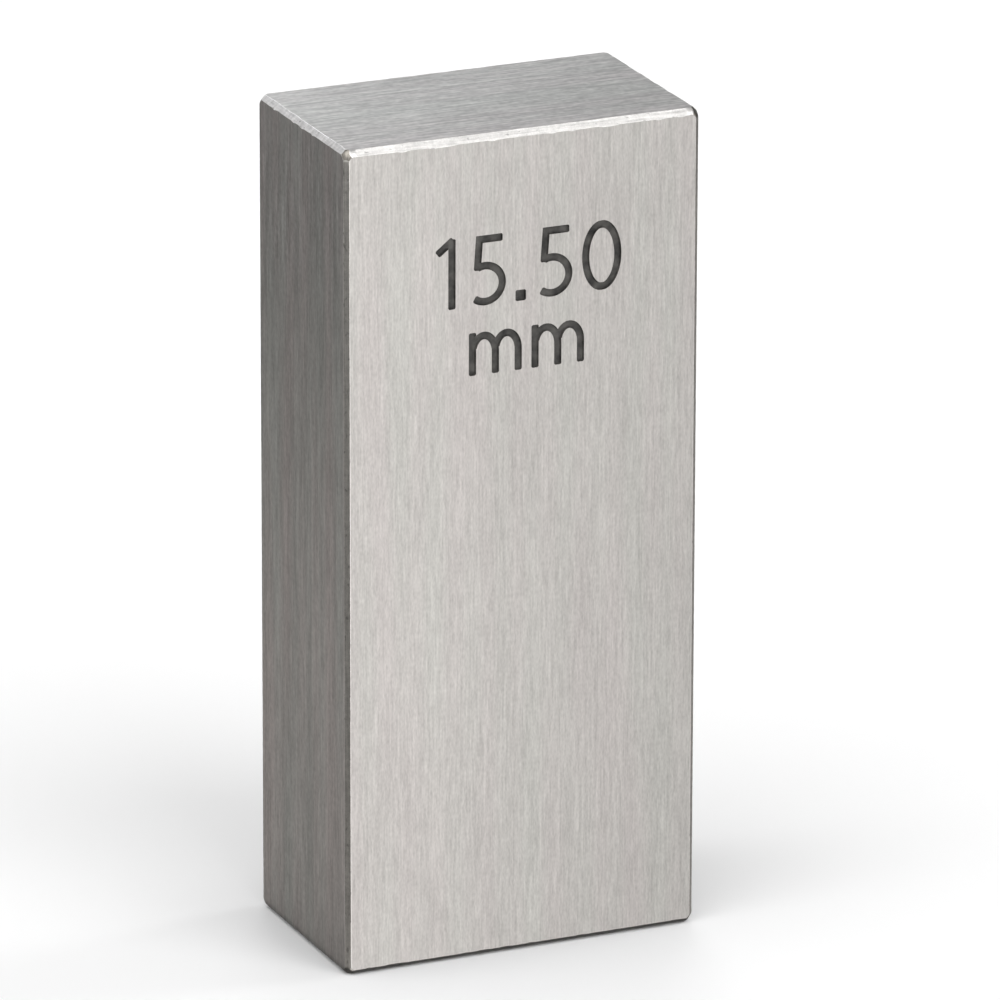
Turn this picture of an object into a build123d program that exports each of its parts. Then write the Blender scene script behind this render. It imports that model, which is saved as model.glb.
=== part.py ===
from build123d import *

import math
import os

# Rectangular gauge block: one hardened steel solid that stands on an end face.
#
# The block's frame is in millimetres, with +Z up and the origin at the middle of the end face it
# stands on. X runs along the gauge length, from one measuring face to the other, and the side face
# at -Y is the front.

# Driving dimensions, in millimetres
GAUGE_LENGTH = 15.5   # between the two measuring faces, along X
SECTION_DEPTH = 9.0   # short side of the measuring faces, along Y
SECTION_HEIGHT = 35.0   # long side of the measuring faces, along Z
SIDE_BEVEL = 0.25   # leg of the 45 degree bevel on the four edges along the gauge length
MEASURING_BEVEL = 0.19   # leg of the finer bevel that is stoned round each measuring face
CORNER_BREAK = 0.12   # length of a side face's edge that is lost where a corner is rounded off
CORNER_BALL = 0.7   # radius of the ball that the corners are rounded to


def ground_blank():
    """The block as it is ground: six flat faces, square to each other, standing on Z = 0."""
    return Box(
        GAUGE_LENGTH,
        SECTION_DEPTH,
        SECTION_HEIGHT,
        align=(Align.CENTER, Align.CENTER, Align.MIN),
    )


def bevelled_blank():
    """The blank with its long edges bevelled first, and then the outlines of its measuring faces."""
    long_edges = ground_blank().edges().filter_by(Axis.X)
    bevelled = chamfer(long_edges, SIDE_BEVEL)
    across = bevelled.faces().sort_by(Axis.X)
    return chamfer(across[0].edges() + across[-1].edges(), MEASURING_BEVEL)


def ball_inset():
    """How far the centre of a corner's ball lies inside each of the three faces that meet there.

    The ball cuts the edge between a side face and its long bevel at CORNER_BREAK from that edge's
    end, so its centre lies on the corner's diagonal at the depth t that solves
    (MEASURING_BEVEL + CORNER_BREAK - t)^2 + (SIDE_BEVEL - t)^2 + t^2 = CORNER_BALL^2.
    """
    far = MEASURING_BEVEL + CORNER_BREAK
    near = SIDE_BEVEL
    total = near + far
    return (total + math.sqrt(total**2 - 3 * (near**2 + far**2 - CORNER_BALL**2))) / 3


def corner_envelope():
    """A box just larger than the block, with rounded edges, whose ball corners trim the block's."""
    overhang = CORNER_BALL - ball_inset()
    box = Box(
        GAUGE_LENGTH + 2 * overhang,
        SECTION_DEPTH + 2 * overhang,
        SECTION_HEIGHT + 2 * overhang,
    )
    rounded = fillet(box.edges(), CORNER_BALL)
    return Pos(0, 0, SECTION_HEIGHT / 2) * rounded


def gauge_block():
    """The finished block: bevelled along every edge and rounded at every corner."""
    return bevelled_blank() & corner_envelope()


os.makedirs("parts", exist_ok=True)
export_step(gauge_block(), "parts/gauge_block.step")
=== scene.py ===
import math

import bmesh
import bpy
from mathutils import Matrix, Vector, noise


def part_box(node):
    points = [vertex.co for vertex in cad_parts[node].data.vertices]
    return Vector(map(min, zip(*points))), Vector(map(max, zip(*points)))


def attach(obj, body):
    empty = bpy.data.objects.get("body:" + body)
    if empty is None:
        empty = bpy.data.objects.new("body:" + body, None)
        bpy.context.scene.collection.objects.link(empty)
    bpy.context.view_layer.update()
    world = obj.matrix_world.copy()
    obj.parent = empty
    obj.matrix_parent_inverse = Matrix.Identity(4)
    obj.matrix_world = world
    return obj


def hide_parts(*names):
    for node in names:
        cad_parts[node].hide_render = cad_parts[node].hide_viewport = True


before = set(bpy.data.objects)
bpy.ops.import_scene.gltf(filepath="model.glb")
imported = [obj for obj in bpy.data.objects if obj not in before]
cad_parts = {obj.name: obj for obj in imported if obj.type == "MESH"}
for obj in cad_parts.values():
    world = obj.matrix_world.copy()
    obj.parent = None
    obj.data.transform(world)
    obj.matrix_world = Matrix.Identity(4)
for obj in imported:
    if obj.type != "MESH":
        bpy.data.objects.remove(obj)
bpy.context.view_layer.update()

# A ground steel gauge block with stoned edges and an engraved size, on a pale studio floor

MM = 0.001   # lengths are written as millimetres times MM, which gives Blender's metres
X, Y, Z = range(3)
AXES = "XYZ"
FRONT = Vector((0, -1, 0))
UP = Vector((0, 0, 1))

# Camera, fitted to the borders and corners of the block's faces in the photograph's square frame
FRAME_PIXELS = 1000
SENSOR = 36.0
FOCAL_PIXELS = 10612
CAMERA_AZIMUTH = math.radians(-23.87)
CAMERA_ELEVATION = math.radians(18.80)
CAMERA_ROLL = math.radians(0.145)
CAMERA_DISTANCE = 432.3 * MM
AIM_ACROSS = 0.906 * MM   # where the camera aims, from the block's centre, across and up the picture
AIM_UP = 0.496 * MM
CLIP_RATIO = 100   # between the distance and either clipping plane

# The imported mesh
WELD = 0.001 * MM   # it repeats its vertices along creases
FLAT_ANGLE = math.radians(1.0)   # faces that meet at less than this are one face
FLAT_COSINE = 0.999   # a flat side looks along its axis by more than this
LEVEL_LIMIT = 0.01   # a bevel looks along its own run by less than this

# Stoned edges
STATION = 0.08 * MM   # spacing of the cuts along a bevel
RIPPLE = 0.014 * MM   # how far a bevel's border wanders to either side
RIPPLE_LONG = 0.9   # lengths of the slow and the quick wave, in millimetres
RIPPLE_SHORT = 0.18
QUICK_SHARE = 0.7   # height of the quick wave, as a share of the slow one's
NICK = 0.045 * MM   # depth of a nick
NICK_SPACING = 0.55   # in millimetres
NICK_START = 0.12   # height of the noise at which a nick starts, and how much higher it is full
NICK_EDGE = 0.2
SIDE_SEED = 7   # shift of the noise between borders on different sides
UPRIGHT_SHARE = 0.12   # upright edges, those at the foot and the borders of the end faces are truer
FOOT_SHARE = 0.4
END_SHARE = 0.55
CORNER_REACH = 0.5 * MM   # the borders run true within this distance of a corner
EDGE_BREAK = 0.06 * MM   # rounding where a bevel meets a flat face
EDGE_BREAK_SEGMENTS = 2
ROUND_PROFILE = 0.5
BEVEL_TURN = math.radians(45)
TURN_STEP = BEVEL_TURN / EDGE_BREAK_SEGMENTS

# Engraved size, on the front face
STROKE = 0.32 * MM
ENGRAVING_DEPTH = 0.11 * MM
ENGRAVING_DRAFT = 0.03 * MM   # how far a groove's walls lean out on each side
CUTTER_RISE = 0.05 * MM   # the cutter stands this far out of the surface
END_ROUNDING = 0.05 * MM
ROUNDING_ROOM = 3 * END_ROUNDING   # a stroke has no other points this near to its ends
DIGIT_HEIGHT = 2.94 * MM
DIGIT_GAP = 0.42 * MM
TEXT_SHIFT = 0.15 * MM   # the rows stand this far right of the middle
NUMBER_DROP = 7.12 * MM   # from the top of the block to the number's baseline
POINT_SIZE = 0.46 * MM
UNIT_HEIGHT = 1.80 * MM
UNIT_SPAN = 1.0 * MM   # from stem to stem
UNIT_GAP = 0.42 * MM
UNIT_DROP = 10.02 * MM
MARKING_MARGIN = 1.0 * MM   # the engraving keeps this far from the sides and the top
CURVE_STEPS = 20   # points along each quarter turn of a stroke
QUARTER = 90   # degrees

# Forms of the characters, as shares of their height
ZERO_WIDTH = 0.59
ONE_STEM = 0.30
ONE_FLAG = 0.25
FIVE_WIDTH = 0.55
FIVE_BAR = 0.50   # right end of the top bar
FIVE_FOOT = 0.125   # where the stem meets the bowl, across and up, and how far its top leans from there
FIVE_WAIST = 0.505
FIVE_LEAN = 0.03
FIVE_BOWL_ACROSS = 0.24   # centre of the bowl
FIVE_BOWL_UP = 0.31
M_ARCH = 0.40

# Angles of the characters, in degrees
ZERO_OVERLAP = 5   # how far each half of the oval runs on into the other
ONE_SLANT = 38
FIVE_TAIL = -128
M_ARCH_START = 165


# Camera


def bearing(azimuth):
    """The level direction at an azimuth from the front, turning towards the right."""
    return Vector((math.sin(azimuth), -math.cos(azimuth), 0))


def across(azimuth):
    """The level direction to the right, for a viewer at an azimuth."""
    return Vector((math.cos(azimuth), math.sin(azimuth), 0))


def aim(azimuth, elevation):
    """The direction at an azimuth and an elevation."""
    return bearing(azimuth) * math.cos(elevation) + UP * math.sin(elevation)


def add_camera(centre):
    """The camera at the photograph's viewing angle."""
    data = bpy.data.cameras.new("camera")
    data.sensor_width = SENSOR
    data.lens = FOCAL_PIXELS / FRAME_PIXELS * SENSOR
    data.clip_start = CAMERA_DISTANCE / CLIP_RATIO
    data.clip_end = CAMERA_DISTANCE * CLIP_RATIO
    back = aim(CAMERA_AZIMUTH, CAMERA_ELEVATION)
    right = Matrix.Rotation(CAMERA_ROLL, 3, back) @ across(CAMERA_AZIMUTH)
    up = back.cross(right)
    place = centre + right * AIM_ACROSS + up * AIM_UP + back * CAMERA_DISTANCE
    camera = bpy.data.objects.new("camera", data)
    camera.matrix_world = Matrix.Translation(place) @ Matrix((right, up, back)).transposed().to_4x4()
    bpy.context.scene.collection.objects.link(camera)
    bpy.context.scene.camera = camera


# The block's own mesh


def axis_of(normal):
    """The axis that a flat face looks along, or None for a bevel or a corner."""
    for axis in (X, Y, Z):
        if abs(normal[axis]) > FLAT_COSINE:
            return axis
    return None


def run_of(normal):
    """The axis that a bevel runs along, or None for a flat face or a corner."""
    level = [axis for axis in (X, Y, Z) if abs(normal[axis]) < LEVEL_LIMIT]
    return level[0] if len(level) == 1 else None


def cad_solid(node):
    """The node's solid, with one face for each flat side and each bevel."""
    bm = bmesh.new()
    bm.from_mesh(node.data)
    bmesh.ops.remove_doubles(bm, verts=bm.verts, dist=WELD)
    bmesh.ops.dissolve_limit(bm, angle_limit=FLAT_ANGLE, verts=bm.verts, edges=bm.edges)
    return bm


def cut_bevels(bm, low, high):
    """Cuts every bevel across into short lengths, so that its borders can wander."""
    for axis in (X, Y, Z):
        unit = Vector([float(i == axis) for i in (X, Y, Z)])
        count = round((high[axis] - low[axis]) / STATION)
        for i in range(1, count):
            at = low[axis] + (high[axis] - low[axis]) * i / count
            faces = [f for f in bm.faces if run_of(f.normal) == axis]
            parts = {e for f in faces for e in f.edges} | {v for f in faces for v in f.verts}
            bmesh.ops.bisect_plane(bm, geom=faces + list(parts), plane_co=unit * at, plane_no=unit)


def outline_edges(bm):
    """The edges where a flat side ends."""
    return [
        e for e in bm.edges
        if len(e.link_faces) == 2
        and (axis_of(e.link_faces[0].normal) is None) != (axis_of(e.link_faces[1].normal) is None)
    ]


def wander(place, seed):
    """How far a border strays at a place: a slow and a quick wave, and now and then a nick."""
    p = place / MM + Vector((seed, 0, 0))
    wave = noise.noise(p / RIPPLE_LONG) + QUICK_SHARE * noise.noise(p / RIPPLE_SHORT)
    nick = min(1.0, max(0.0, (noise.noise(p / NICK_SPACING + FRONT) - NICK_START) / NICK_EDGE))
    return RIPPLE * wave + NICK * nick


def edge_place(place, low, high):
    """Where a point of an edge lies: the axes of its run, of the nearer and of the other side, and its
    distance from the end of the run."""
    depth = [min(place[axis] - low[axis], high[axis] - place[axis]) for axis in (X, Y, Z)]
    near, other, run = sorted((X, Y, Z), key=lambda axis: depth[axis])
    return run, near, other, depth[run]


def border_share(run, near, lower_half):
    """How much of the full ripple a border has."""
    share = UPRIGHT_SHARE if run == Z else FOOT_SHARE if lower_half else 1.0
    return share * END_SHARE if near == Z else share


def ripple_borders(bm, low, high):
    """Moves each border within its own flat side, which stays flat, and the rounding beside it alike."""
    middle = (low + high) / 2
    for v in bm.verts:
        run, near, other, room = edge_place(v.co, low, high)
        corner = Vector([low[i] if v.co[i] < middle[i] else high[i] for i in (X, Y, Z)])
        inward = 1 if v.co[other] < middle[other] else -1
        share = border_share(run, near, v.co.z < middle.z)
        fade = min(1.0, max(0.0, room / CORNER_REACH - 1))
        corner[run] = v.co[run]
        v.co[other] += inward * share * fade * wander(corner, SIDE_SEED * near)


def mesh_of(bm, name):
    """A mesh made of a bmesh, with smooth faces."""
    for face in bm.faces:
        face.smooth = True
    mesh = bpy.data.meshes.new(name)
    bm.to_mesh(mesh)
    bm.free()
    return mesh


def block_mesh(node, low, high):
    """The block with stoned edges, before it is engraved."""
    bm = cad_solid(node)
    cut_bevels(bm, low, high)
    bmesh.ops.bevel(
        bm, geom=outline_edges(bm), offset=EDGE_BREAK, offset_type="OFFSET",
        segments=EDGE_BREAK_SEGMENTS, profile=ROUND_PROFILE, affect="EDGES", clamp_overlap=True,
    )
    ripple_borders(bm, low, high)
    return mesh_of(bm, "gauge_block_finished")


# Engraved characters, as strokes in the plane of the face: each function gives the character's width, the
# width of its strokes, and the strokes


def arc(centre, radii, start, end):
    """Points of an elliptical arc, between two angles in degrees."""
    steps = max(2, round(CURVE_STEPS * abs(end - start) / QUARTER))
    turns = [math.radians(start + (end - start) * i / steps) for i in range(steps + 1)]
    return [(centre[0] + radii[0] * math.cos(t), centre[1] + radii[1] * math.sin(t)) for t in turns]


def digit_zero():
    """An oval, as two half rings that overlap."""
    h, half = DIGIT_HEIGHT, STROKE / 2
    width = ZERO_WIDTH * h
    centre = (width / 2, h / 2)
    radii = (width / 2 - half, h / 2 - half)
    halves = [
        arc(centre, radii, start - ZERO_OVERLAP, start + 2 * QUARTER + ZERO_OVERLAP)
        for start in (QUARTER, 3 * QUARTER)
    ]
    return width, STROKE, halves


def digit_one():
    """A stem with a slanting flag."""
    h, half = DIGIT_HEIGHT, STROKE / 2
    stem = ONE_STEM * h
    slant = math.radians(ONE_SLANT)
    out = Vector((-math.cos(slant), -math.sin(slant)))
    root = Vector((stem - half + half * math.sin(slant), h - half * math.cos(slant)))
    return stem + STROKE, STROKE, [
        [(stem, 0), (stem, h)],
        [root - out * half, root + out * ONE_FLAG * h],
    ]


def digit_five():
    """A top bar with a stem, and an open bowl."""
    h, half = DIGIT_HEIGHT, STROKE / 2
    width = FIVE_WIDTH * h
    bowl = (FIVE_BOWL_ACROSS * h, FIVE_BOWL_UP * h)
    radii = (width - half - bowl[0], bowl[1] - half)
    foot = FIVE_FOOT * h
    start = math.degrees(math.acos((foot - bowl[0]) / radii[0]))
    return width, STROKE, [
        [(FIVE_BAR * h, h - half), (foot + FIVE_LEAN * h, h - half), (foot, FIVE_WAIST * h)],
        arc(bowl, radii, start, FIVE_TAIL),
    ]


def point():
    """A square decimal point."""
    middle = POINT_SIZE / 2
    return POINT_SIZE, POINT_SIZE, [[(middle, 0), (middle, POINT_SIZE)]]


def letter_m():
    """A stem, and two arches that end in stems of their own."""
    h, half = UNIT_HEIGHT, STROKE / 2
    radii = (UNIT_SPAN / 2, M_ARCH * h)
    arches = [
        arc((x + UNIT_SPAN / 2, h - half - radii[1]), radii, M_ARCH_START, 0) + [(x + UNIT_SPAN, 0)]
        for x in (half, half + UNIT_SPAN)
    ]
    return 2 * UNIT_SPAN + STROKE, STROKE, [[(half, 0), (half, h)]] + arches


def text_row(glyphs, gap, baseline):
    """The strokes of a row of characters, each with its width."""
    width = sum(glyph[0] for glyph in glyphs) + gap * (len(glyphs) - 1)
    x = TEXT_SHIFT - width / 2
    strokes = []
    for glyph_width, stroke, lines in glyphs:
        strokes += [([Vector((x + px, baseline + py)) for px, py in line], stroke) for line in lines]
        x += glyph_width + gap
    return strokes


def ribbon(line, half_width, reach):
    """The closed outline of a stroke. Its ends reach past its points and have their corners taken off."""
    ends = line[0], line[-1]
    inner = [p for p in line[1:-1] if min((p - end).length for end in ends) > ROUNDING_ROOM]
    path = [line[0]] + inner + [line[-1]]
    start = (path[1] - path[0]).normalized()
    end = (path[-1] - path[-2]).normalized()
    first = path[0] - start * reach
    last = path[-1] + end * reach
    points = [first, first + start * END_ROUNDING] + inner + [last - end * END_ROUNDING, last]
    ahead = [(b - a).normalized() for a, b in zip(points, points[1:])]
    left, right = [], []
    for i, p in enumerate(points):
        before, after = ahead[max(i - 1, 0)], ahead[min(i, len(ahead) - 1)]
        middle = (before + after).normalized()
        at_end = i in (0, len(points) - 1)
        reach_out = (half_width - END_ROUNDING if at_end else half_width) / middle.dot(after)
        side = Vector((-middle.y, middle.x)) * reach_out
        left.append(p + side)
        right.append(p - side)
    return left + right[::-1]


def add_groove(bm, line, width, surface_y):
    """A closed solid the shape of one groove, with leaning walls, that stands out of the surface."""
    loops = []
    for depth in (ENGRAVING_DEPTH, -CUTTER_RISE):
        lean = -ENGRAVING_DRAFT * depth / ENGRAVING_DEPTH
        outline = ribbon(line, width / 2 + lean, lean)
        loops.append([bm.verts.new((p.x, surface_y + depth, p.y)) for p in outline])
    floor, lid = loops
    for i in range(len(floor)):
        bm.faces.new((floor[i], floor[i - 1], lid[i - 1], lid[i]))
    bm.faces.new(floor)
    bm.faces.new(lid[::-1])


def marking_cutter(low, high):
    """The grooves of the number and of the unit under it, as one object."""
    bm = bmesh.new()
    number = [digit_one(), digit_five(), point(), digit_five(), digit_zero()]
    rows = text_row(number, DIGIT_GAP, high.z - NUMBER_DROP)
    rows += text_row([letter_m(), letter_m()], UNIT_GAP, high.z - UNIT_DROP)
    for line, stroke in rows:
        add_groove(bm, line, stroke, low.y)
    return bpy.data.objects.new("marking_cutter", mesh_of(bm, "marking_cutter"))


def engrave(block, cutter):
    """Cuts the marking out of the block's mesh."""
    bpy.context.scene.collection.objects.link(cutter)
    cut = block.modifiers.new("engraving", "BOOLEAN")
    cut.operation = "DIFFERENCE"
    cut.solver = "EXACT"
    cut.use_self = True
    cut.object = cutter
    bpy.context.view_layer.update()
    finished = bpy.data.meshes.new_from_object(block.evaluated_get(bpy.context.evaluated_depsgraph_get()))
    block.modifiers.clear()
    block.data = finished
    cutter_mesh = cutter.data
    bpy.data.objects.remove(cutter)
    bpy.data.meshes.remove(cutter_mesh)


# Shader nodes

NOISE_MEAN = 0.5

# Sockets of the mix node, which has a set of its own for each kind of data
MIX_SHARE = 0
MIX_LEVELS = (2, 3)
MIX_TONES = (6, 7)
MIXED_LEVEL = 0
MIXED_TONE = 2


def add_node(tree, kind, inputs, **settings):
    """A shader node with its settings, and its inputs linked to sockets or set to values."""
    made = tree.nodes.new(kind)
    for name, value in settings.items():
        setattr(made, name, value)
    for name, value in inputs.items():
        if isinstance(value, bpy.types.NodeSocket):
            tree.links.new(value, made.inputs[name])
        else:
            made.inputs[name].default_value = value
    return made


def new_material(name):
    """A material with a bare surface shader: (material, tree, shader)."""
    material = bpy.data.materials.new(name)
    material.use_nodes = True
    tree = material.node_tree
    tree.nodes.clear()
    shader = tree.nodes.new("ShaderNodeBsdfPrincipled")
    output = tree.nodes.new("ShaderNodeOutputMaterial")
    tree.links.new(shader.outputs["BSDF"], output.inputs["Surface"])
    return material, tree, shader


def object_place(tree):
    """The place of the shaded point in the object's own frame."""
    return tree.nodes.new("ShaderNodeTexCoord").outputs["Object"]


def along_axis(grain, across_grain, along_grain):
    """Cells per millimetre on X, Y and Z, for a grain along one of them."""
    return [along_grain if axis == grain else across_grain for axis in (X, Y, Z)]


def grain_noise(tree, place, per_mm, detail=0.0):
    """Noise with its own number of cells per millimetre along each axis."""
    scaled = add_node(
        tree, "ShaderNodeVectorMath", {0: place, 1: [k / MM for k in per_mm]}, operation="MULTIPLY"
    )
    made = add_node(
        tree, "ShaderNodeTexNoise", {"Vector": scaled.outputs[0], "Scale": 1.0, "Detail": detail}
    )
    return made.outputs[0]


def math_node(tree, operation, a, b, c=0.0):
    """The result of an operation on up to three values."""
    return add_node(tree, "ShaderNodeMath", {0: a, 1: b, 2: c}, operation=operation).outputs[0]


def weighted(tree, start, layers):
    """start plus each layer's noise, centred on zero, times its weight."""
    total = start
    for layer, weight in layers:
        centred = math_node(tree, "SUBTRACT", layer, NOISE_MEAN)
        total = math_node(tree, "MULTIPLY_ADD", centred, weight, total)
    return total


def ramp(tree, value, start, end, low, high):
    """A level that goes from low to high as a value goes from start to end."""
    made = add_node(
        tree, "ShaderNodeMapRange",
        {"Value": value, "From Min": start, "From Max": end, "To Min": low, "To Max": high},
    )
    return made.outputs[0]


def tint(tree, colour, brightness):
    """A colour times a brightness."""
    scaled = add_node(tree, "ShaderNodeVectorMath", {0: colour, "Scale": brightness}, operation="SCALE")
    return scaled.outputs[0]


def two_tones(tree, first, second, share):
    """The first tone where share is 0 and the second where it is 1."""
    a, b = MIX_TONES
    inputs = {MIX_SHARE: share, a: (*first, 1), b: (*second, 1)}
    return add_node(tree, "ShaderNodeMix", inputs, data_type="RGBA").outputs[MIXED_TONE]


def two_levels(tree, first, second, share):
    """The first level where share is 0 and the second where it is 1."""
    a, b = MIX_LEVELS
    inputs = {MIX_SHARE: share, a: first, b: second}
    return add_node(tree, "ShaderNodeMix", inputs).outputs[MIXED_LEVEL]


def set_bump(tree, shader, height, strength, distance):
    """Gives a shader the relief of a height."""
    bump = add_node(tree, "ShaderNodeBump", {"Height": height, "Strength": strength, "Distance": distance})
    tree.links.new(bump.outputs[0], shader.inputs["Normal"])


# Ground faces

# Two tones of the steel on each kind of face, towards pink and towards green
FACE_TONES = (0.587, 0.5655, 0.5515), (0.574, 0.5725, 0.5485)
MEASURING_TONES = (0.598, 0.5655, 0.5505), (0.562, 0.5725, 0.5505)
TONE_GRAIN = (0.9, 0.06)   # cells per millimetre of the tones' pattern, across and along the grain
TONE_BAND = (0.3, 0.7)   # heights of the noise between which one tone turns into the other

# Layers of the grain on each kind of face: cells per millimetre across and along it, and a weight
SIDE_HAIRS = [
    (16.0, 6.0, 0.255), (13.0, 2.0, 0.24), (15.0, 0.7, 0.175), (10.0, 0.28, 0.15), (3.5, 0.2, 0.10),
]
MEASURING_HAIRS = [
    (8.0, 5.0, 0.31), (6.5, 1.1, 0.35), (7.4, 0.3, 0.31), (2.2, 0.12, 0.24), (1.0, 0.03, 0.19),
]
END_HAIRS = [
    (6.5, 5.0, 0.36), (5.6, 1.4, 0.42), (6.0, 0.4, 0.58), (3.0, 0.15, 0.22), (1.5, 0.2, 0.18),
]
CLOUDS = (0.4, 0.12, 0.08)
DARKEST_HAIR = 0.78   # share of the steel's colour that the darkest hairs keep

FACE_ROUGHNESS = 0.36
FACE_ROUGHNESS_SPREAD = 0.08
FACE_BUMP = (0.2, 0.003 * MM)   # strength and distance
BUMP_LAYERS = 2   # the finest layers make the bump too
ANISOTROPY = 0.4


def brushed_steel(name, grain, hairs, tones):
    """Ground steel with a straight grain along one axis, which spreads its gloss across the grain."""
    material, tree, shader = new_material(name)
    place = object_place(tree)

    def layer(across_grain, along_grain, weight):
        return grain_noise(tree, place, along_axis(grain, across_grain, along_grain)), weight

    layers = [layer(*hair) for hair in hairs]
    brightness = weighted(tree, 1.0, layers + [layer(*CLOUDS)])
    brightness = math_node(tree, "MAXIMUM", brightness, DARKEST_HAIR)
    tone_noise = grain_noise(tree, place, along_axis(grain, *TONE_GRAIN))
    tone = two_tones(tree, *tones, ramp(tree, tone_noise, *TONE_BAND, 0.0, 1.0))
    tree.links.new(tint(tree, tone, brightness), shader.inputs["Base Color"])
    middle_hairs = layers[len(layers) // 2][0]
    roughness = weighted(tree, FACE_ROUGHNESS, [(middle_hairs, FACE_ROUGHNESS_SPREAD)])
    tree.links.new(roughness, shader.inputs["Roughness"])
    set_bump(tree, shader, weighted(tree, 0.0, layers[:BUMP_LAYERS]), *FACE_BUMP)
    around = add_node(tree, "ShaderNodeTangent", {}, direction_type="RADIAL", axis=AXES[grain])
    tree.links.new(around.outputs[0], shader.inputs["Tangent"])
    shader.inputs["Metallic"].default_value = 1.0
    shader.inputs["Anisotropic"].default_value = ANISOTROPY
    return material


# Bevels and corners

# Marks of the stone: cells per millimetre across and along the run
STREAKS = (14.0, 0.8)
TICKS = (3.0, 5.0)
SPECKS = (9.0, 4.0)
SPECK_BAND = (0.72, 0.80)   # heights of the noise between which a speck darkens
SPECK_DEPTH = 0.35
GRIT = 16.0   # cells per millimetre of the fine grain
GRIT_DETAIL = 1.0
GRIT_WEIGHT = 0.35
GRIT_RELIEF = 0.5   # height of the fine grain in the bump, as a share of the streaks'

EDGE_ROUGHNESS = 0.33
EDGE_ROUGHNESS_SPREAD = 0.15
EDGE_BUMP = (0.25, 0.004 * MM)   # strength and distance

# Each row of bevels has its own brightness of the same stoned steel, set to how bright it shows under the
# lamps: painted light and shade
LONG_EDGE_STEEL = (0.632, 0.62, 0.604)
DEEP_EDGE_STEEL = (0.674, 0.661, 0.647)
UPRIGHT_EDGE_STEEL = (0.60, 0.585, 0.55)
# The roundings beside the flat sides of upright edges are brighter than steel, for the bright line along
# them: a painted highlight
ROUNDING_HIGHLIGHT_STEEL = (0.95, 0.93, 0.90)
# The upward-looking crests of the deep bevels are brighter, for the bright line along the top's border: a
# painted highlight
CREST_HIGHLIGHT_STEEL = (0.79, 0.775, 0.757)
# The upper corners have a much darker steel, which tones down the lamps' highlight on them, and the corners
# at the foot take the upright edges' steel: painted shade
SHADED_CORNER_STEEL = (0.30, 0.28, 0.25)


def stoned_edge(name, run, colour, streak_weight, tick_weight):
    """A bevel, with marks of the stone along and across its run and a few dark specks."""
    material, tree, shader = new_material(name)
    place = object_place(tree)
    streaks = grain_noise(tree, place, along_axis(run, *STREAKS))
    ticks = grain_noise(tree, place, along_axis(run, *TICKS))
    grit = grain_noise(tree, place, [GRIT] * 3, GRIT_DETAIL)
    specks = grain_noise(tree, place, along_axis(run, *SPECKS))
    marks = [(streaks, streak_weight), (ticks, tick_weight), (grit, GRIT_WEIGHT)]
    darkening = ramp(tree, specks, *SPECK_BAND, 0.0, SPECK_DEPTH)
    brightness = math_node(tree, "SUBTRACT", weighted(tree, 1.0, marks), darkening)
    tree.links.new(tint(tree, colour, brightness), shader.inputs["Base Color"])
    roughness = weighted(tree, EDGE_ROUGHNESS, [(grit, EDGE_ROUGHNESS_SPREAD)])
    tree.links.new(roughness, shader.inputs["Roughness"])
    set_bump(tree, shader, weighted(tree, 0.0, [(streaks, 1.0), (grit, GRIT_RELIEF)]), *EDGE_BUMP)
    shader.inputs["Metallic"].default_value = 1.0
    return material


# Inside of the engraving

FILL_COLOUR = (0.047, 0.0447, 0.041)
FILL_FINE = 9.0   # cells per millimetre of its fine and its broad patches, and their weights
FILL_FINE_WEIGHT = 1.2
FILL_BROAD = 1.8
FILL_BROAD_WEIGHT = 3.6
FILL_DETAIL = 2.0
FILL_ROUGHNESS = 0.6
FILL_ROUGHNESS_SPREAD = 0.3
FILL_BUMP = (0.4, 0.01 * MM)   # strength and distance


def engraved_fill():
    """The dull dark inside of the engraving, unevenly coloured."""
    material, tree, shader = new_material("engraved_fill")
    place = object_place(tree)
    fine = grain_noise(tree, place, [FILL_FINE] * 3, FILL_DETAIL)
    broad = grain_noise(tree, place, [FILL_BROAD] * 3, FILL_DETAIL)
    brightness = weighted(tree, 1.0, [(fine, FILL_FINE_WEIGHT), (broad, FILL_BROAD_WEIGHT)])
    tree.links.new(tint(tree, FILL_COLOUR, brightness), shader.inputs["Base Color"])
    roughness = weighted(tree, FILL_ROUGHNESS, [(fine, FILL_ROUGHNESS_SPREAD)])
    tree.links.new(roughness, shader.inputs["Roughness"])
    set_bump(tree, shader, fine, *FILL_BUMP)
    return material


# Which face of the block has which material

SIDES, MEASURING, ENDS, LONG_EDGE, DEEP_EDGE, UPRIGHT_EDGE, ROUNDING_HIGHLIGHT, CREST, CORNER, FILL = range(10)
FLAT_MATERIAL = {X: MEASURING, Y: SIDES, Z: ENDS}   # by the axis that a flat face looks along
CORNER_TILT = 0.3   # a face that looks along all three axes by more than this belongs to a corner
UPRIGHT_SLOPE = 0.1   # faces that look up or down less than this belong to an upright edge
ROUNDING_HIGHLIGHT_LEAN = 0.8   # of those, the ones nearer to a flat side than this cosine are its rounding, whose steel is made brighter: a painted highlight
CREST_SLOPE = 0.8   # faces of a deep edge that look up more than this are its crest, whose steel is made brighter: a painted highlight


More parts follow.
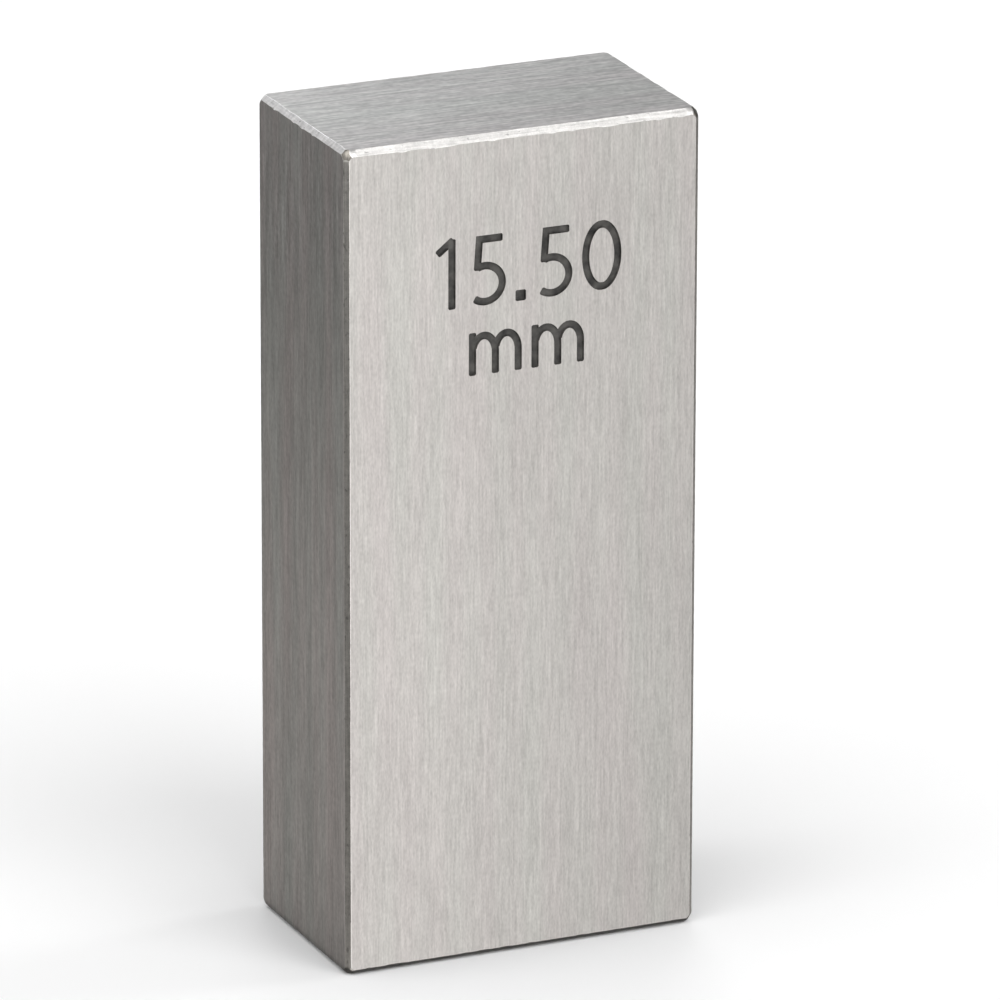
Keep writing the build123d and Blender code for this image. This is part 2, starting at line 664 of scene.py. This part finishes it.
def block_materials():
    """The block's materials, in the order of their numbers above."""
    return [
        brushed_steel("brushed_side", Z, SIDE_HAIRS, FACE_TONES),
        brushed_steel("brushed_measuring_face", Z, MEASURING_HAIRS, MEASURING_TONES),
        brushed_steel("brushed_end", X, END_HAIRS, FACE_TONES),
        stoned_edge("stoned_long_edge", X, LONG_EDGE_STEEL, streak_weight=0.5, tick_weight=0.25),
        stoned_edge("stoned_deep_edge", Y, DEEP_EDGE_STEEL, streak_weight=0.3, tick_weight=0.55),
        stoned_edge("stoned_upright_edge", Z, UPRIGHT_EDGE_STEEL, streak_weight=0.5, tick_weight=0.3),
        stoned_edge("upright_rounding_painted_highlight", Z, ROUNDING_HIGHLIGHT_STEEL, streak_weight=0.3, tick_weight=0.2),
        stoned_edge("crest_painted_highlight", Y, CREST_HIGHLIGHT_STEEL, streak_weight=0.3, tick_weight=0.4),
        stoned_edge("stoned_corner_painted_shade", Z, SHADED_CORNER_STEEL, streak_weight=0.3, tick_weight=0.3),
        engraved_fill(),
    ]


def edge_material(normal):
    """The material of a face of a bevel or a corner, by the way that it looks; the roundings of upright
    edges and the top crests are painted highlights, the upper corners painted shade.
    """
    if min(abs(part) for part in normal) > CORNER_TILT:
        return CORNER if normal.z > 0 else UPRIGHT_EDGE
    if abs(normal.z) < UPRIGHT_SLOPE:
        return ROUNDING_HIGHLIGHT if max(abs(normal.x), abs(normal.y)) > ROUNDING_HIGHLIGHT_LEAN else UPRIGHT_EDGE
    if abs(normal.x) < abs(normal.y):
        return LONG_EDGE
    return CREST if normal.z > CREST_SLOPE else DEEP_EDGE


def on_side(place, axis, low, high):
    """Whether a place lies on one of the two flat sides that look along an axis."""
    return min(abs(place[axis] - low[axis]), abs(place[axis] - high[axis])) < WELD


def in_engraving(place, low, high):
    """Whether a place that is on no flat side lies in the engraving, and not on an edge."""
    return (
        place.y < low.y + 2 * ENGRAVING_DEPTH
        and high.z - 2 * UNIT_DROP < place.z < high.z - MARKING_MARGIN
        and abs(place.x) < high.x - MARKING_MARGIN
    )


def dress(block, low, high):
    """Gives every face of the block its material."""
    mesh = block.data
    mesh.materials.clear()
    for material in block_materials():
        mesh.materials.append(material)
    for face in mesh.polygons:
        axis = axis_of(face.normal)
        if axis is not None and on_side(face.center, axis, low, high):
            face.material_index = FLAT_MATERIAL[axis]
        elif in_engraving(face.center, low, high):
            face.material_index = FILL
        else:
            face.material_index = edge_material(face.normal)


def settled(vertex, low, high):
    """A bevel's direction at a vertex, without the slight tilt that its wandering borders give it."""
    run, near, other, room = edge_place(vertex.co, low, high)
    if room < CORNER_REACH:
        return vertex.normal.copy()
    turn = round(math.atan2(vertex.normal[other], vertex.normal[near]) / TURN_STEP) * TURN_STEP
    made = Vector((0, 0, 0))
    made[near], made[other] = math.cos(turn), math.sin(turn)
    return made


def even_shading(block, low, high):
    """Flat sides and grooves are shaded flat, and the light rolls over the broken edges between them."""
    mesh = block.data
    flat = FLAT_MATERIAL.values()
    sides = {}
    for face in mesh.polygons:
        if face.material_index in flat:
            sides.update({v: face.normal.copy() for v in face.vertices})
    normals = []
    for face in mesh.polygons:
        if face.material_index in flat or face.material_index == FILL:
            normals += [face.normal.copy() for _ in face.vertices]
        else:
            normals += [sides.get(v) or settled(mesh.vertices[v], low, high) for v in face.vertices]
    mesh.normals_split_custom_set(normals)


def add_block(low, high):
    """The finished block, in place of its plain solid."""
    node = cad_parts["gauge_block"]
    block = bpy.data.objects.new("gauge_block_finished", block_mesh(node, low, high))
    bpy.context.scene.collection.objects.link(block)
    engrave(block, marking_cutter(low, high))
    dress(block, low, high)
    even_shading(block, low, high)
    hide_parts("gauge_block")
    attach(block, "root")


# Floor

FLOOR_COLOUR = (0.95, 0.95, 0.95, 1)
FLOOR_REACH = 4000 * MM


def rectangle(left, right, front, back, height):
    """The corners of a level rectangle."""
    return [(left, front, height), (right, front, height), (right, back, height), (left, back, height)]


def add_floor():
    """A plain pale floor without gloss."""
    material, _, shader = new_material("pale_floor")
    shader.inputs["Base Color"].default_value = FLOOR_COLOUR
    shader.inputs["Roughness"].default_value = 1.0
    shader.inputs["Specular IOR Level"].default_value = 0.0
    mesh = bpy.data.meshes.new("floor")
    corners = rectangle(-FLOOR_REACH, FLOOR_REACH, -FLOOR_REACH, FLOOR_REACH, 0)
    mesh.from_pydata(corners, [], [tuple(range(len(corners)))])
    mesh.materials.append(material)
    floor = bpy.data.objects.new("floor", mesh)
    bpy.context.scene.collection.objects.link(floor)


# Glowing cards round the block, which only reflections see: painted reflections, bright and dark

FRONT_TONE = (1.0, 0.975, 0.962)
LEFT_TONE = (1.0, 0.955, 0.925)
BACK_TONE = (0.96, 0.978, 1.015)
CARD_REACH = 250 * MM
CARD_RISE = 0.02 * MM   # from the floor to the lowest cards, and from there to those on them
SECTOR_STEPS = 12

# Azimuths, in degrees, where the cards on the floor end
STRIP_RIGHT = -12
STRIP_LEFT = -38
FRONT_LEFT_END = -105
LEFT_END = -205
FRONT_RIGHT_END = 90
RIGHT_END = 160

# Azimuths that the camera sees mirrored in the front left edge and in the left face
EDGE_SIGHT = math.radians(-66)
LEFT_SIGHT = math.radians(-157)
FRONT_SLANT = 0.05   # how much the front card also brightens away from the block

# Cards close to the foot, which paint the floor's shade there into the reflections: painted shade
CONTACT_WIDTH = 7 * MM
CONTACT_FRONT = 1 * MM   # how far the left one reaches past the block, in front and at the back
CONTACT_BACK = 6 * MM
CONTACT_OVERHANG = 0.28 * MM   # how far the dark one under the block shows on the left, as painted contact shadow
CONTACT_FADE = Vector((-1, 0.25, 0))


def add_card(name, outline, tone, levels, direction=FRONT, span=(0, 1)):
    """A glowing card that shows only in the steel's reflections, as a painted reflection. Its level changes
    along a direction.
    """
    mesh = bpy.data.meshes.new(name)
    mesh.from_pydata(outline, [], [tuple(range(len(outline)))])
    material = bpy.data.materials.new(name)
    material.use_nodes = True
    tree = material.node_tree
    tree.nodes.clear()
    along = add_node(
        tree, "ShaderNodeVectorMath", {0: object_place(tree), 1: direction}, operation="DOT_PRODUCT"
    )
    level = ramp(tree, along.outputs["Value"], *span, *levels)
    glow = add_node(tree, "ShaderNodeEmission", {"Color": (*tone, 1), "Strength": level})
    output = tree.nodes.new("ShaderNodeOutputMaterial")
    tree.links.new(glow.outputs[0], output.inputs["Surface"])
    mesh.materials.append(material)
    card = bpy.data.objects.new(name, mesh)
    card.visible_camera = False
    card.visible_diffuse = False
    card.visible_shadow = False
    bpy.context.scene.collection.objects.link(card)


def sector(apex, start, end):
    """The corners of a sector of the floor, between two azimuths in degrees."""
    turns = [math.radians(start + (end - start) * i / SECTOR_STEPS) for i in range(SECTOR_STEPS + 1)]
    corner = Vector((*apex, CARD_RISE))
    return [corner] + [corner + bearing(t) * CARD_REACH for t in turns]


def upright(facing, distance, left, right, low, high):
    """The corners of an upright card that faces the block from an azimuth in degrees."""
    turn = math.radians(facing)
    middle = bearing(turn) * distance
    side = -across(turn)
    corners = [(left, low), (right, low), (right, high), (left, high)]
    return [middle + side * s + UP * z for s, z in corners]


def add_floor_cards(low, high):
    """Glowing cards on the floor, in sectors about the feet of the front face: painted reflections, bright
    for the front face and dark for the left face, with a bright strip as the painted highlight along the
    front left edge.
    """
    front_left, front_right = (low.x, low.y), (high.x, low.y)
    mirrored_across = across(-CAMERA_AZIMUTH)
    mirrored_back = bearing(-CAMERA_AZIMUTH)
    add_card(
        "front_card", sector(front_left, STRIP_RIGHT, FRONT_RIGHT_END), FRONT_TONE, levels=(1.385, 0.545),
        direction=mirrored_across - FRONT_SLANT * mirrored_back, span=(-27 * MM, 17 * MM),
    )
    # A bright strip for the line along the front left edge: a painted highlight
    add_card("front_strip", sector(front_left, STRIP_LEFT, STRIP_RIGHT), FRONT_TONE, levels=(1.65, 1.65))
    add_card(
        "front_left_card", sector(front_left, STRIP_LEFT, FRONT_LEFT_END), LEFT_TONE, levels=(0.147, 0.094),
        direction=bearing(EDGE_SIGHT), span=(9 * MM, 112 * MM),
    )
    add_card(
        "left_card", sector(front_left, FRONT_LEFT_END, LEFT_END), LEFT_TONE, levels=(0.315, 0.13),
        direction=bearing(LEFT_SIGHT), span=(50 * MM, 106 * MM),
    )
    add_card("right_card", sector(front_right, FRONT_RIGHT_END, RIGHT_END), FRONT_TONE, levels=(0.30, 0.30))


def add_standing_cards():
    """Glowing cards behind the block, which paint the top's reflection and, as a bright strip, the
    highlight along the left top bevel's upper border, and a dark one on its right: painted reflections.
    """
    add_card(
        "back_card",
        upright(facing=156, distance=60 * MM, left=-90 * MM, right=60 * MM, low=20 * MM, high=65 * MM),
        BACK_TONE, levels=(1.13, 0.37), direction=across(CAMERA_AZIMUTH), span=(-20 * MM, 20 * MM),
    )
    # A bright strip for the line along the left top bevel's upper border: a painted highlight
    add_card(
        "back_strip",
        upright(facing=177, distance=120 * MM, left=-25 * MM, right=25 * MM, low=96 * MM, high=125 * MM),
        BACK_TONE, levels=(4.0, 4.0),
    )
    add_card(
        "right_flag",
        upright(facing=112, distance=120 * MM, left=-60 * MM, right=60 * MM, low=0, high=120 * MM),
        FRONT_TONE, levels=(0.06, 0.06),
    )


def add_contact_cards(low, high):
    """Cards on the floor that paint the floor's shade into the reflections close to the foot: painted
    shade.
    """
    beside = rectangle(
        low.x - CONTACT_WIDTH, low.x, low.y - CONTACT_FRONT, high.y + CONTACT_BACK, 2 * CARD_RISE
    )
    add_card(
        "left_contact_card", beside, LEFT_TONE, levels=(0.215, 0.315),
        direction=CONTACT_FADE, span=(6.6 * MM, 13.5 * MM),
    )
    under = rectangle(low.x - CONTACT_OVERHANG, high.x, low.y, high.y, 3 * CARD_RISE)
    add_card("contact_card", under, FRONT_TONE, levels=(0.06, 0.06))


# Light

WORLD_LIGHT = (2.74, 0.0)   # level that lights the floor, at the horizon and from WORLD_RIM up
WORLD_RIM = 0.6   # sine of the elevation at which the low light ends
WORLD_REFLECTED = (0.86, 0.35)   # level in reflections, at the horizon and overhead
WHITE = (1, 1, 1, 1)


def add_world():
    """A sky that is brightest near the horizon, milder in reflections and white to the camera."""
    world = bpy.data.worlds.new("studio")
    bpy.context.scene.world = world
    world.use_nodes = True
    tree = world.node_tree
    tree.nodes.clear()
    direction = tree.nodes.new("ShaderNodeTexCoord").outputs["Generated"]
    height = add_node(tree, "ShaderNodeSeparateXYZ", {0: direction}).outputs["Z"]
    path = tree.nodes.new("ShaderNodeLightPath").outputs
    reflected = ramp(tree, height, 0.0, 1.0, *WORLD_REFLECTED)
    light = ramp(tree, height, 0.0, WORLD_RIM, *WORLD_LIGHT)
    level = two_levels(tree, light, reflected, path["Is Glossy Ray"])
    level = two_levels(tree, level, 1.0, path["Is Camera Ray"])
    background = add_node(tree, "ShaderNodeBackground", {"Color": WHITE, "Strength": level})
    output = tree.nodes.new("ShaderNodeOutputWorld")
    tree.links.new(background.outputs[0], output.inputs["Surface"])


def add_lamp(name, azimuth, elevation, width, energy, mirrored=False):
    """A soft lamp far away, seen from the block under a width in degrees."""
    data = bpy.data.lights.new(name, "SUN")
    data.energy = energy
    data.angle = math.radians(width)
    lamp = bpy.data.objects.new(name, data)
    lamp.visible_glossy = mirrored
    lamp.rotation_mode = "QUATERNION"
    lamp.rotation_quaternion = aim(math.radians(azimuth), math.radians(elevation)).to_track_quat("Z", "Y")
    bpy.context.scene.collection.objects.link(lamp)


def add_lamps():
    """Four lamps, of which the steel mirrors the two in front."""
    add_lamp("front_lamp", azimuth=18, elevation=50, width=39, energy=1.15, mirrored=True)
    add_lamp("left_lamp", azimuth=-69, elevation=61, width=51, energy=1.19, mirrored=True)
    add_lamp("back_lamp", azimuth=160, elevation=46, width=27, energy=0.41)
    add_lamp("right_lamp", azimuth=89, elevation=32, width=26, energy=0.64)
    bpy.context.scene.cycles.caustics_reflective = False   # the steel throws no light back on the floor


def main():
    """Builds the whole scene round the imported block."""
    low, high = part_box("gauge_block")
    bpy.context.scene.view_settings.view_transform = "Standard"
    add_camera((low + high) / 2)
    add_block(low, high)
    add_floor()
    add_floor_cards(low, high)
    add_standing_cards()
    add_contact_cards(low, high)
    add_world()
    add_lamps()


main()
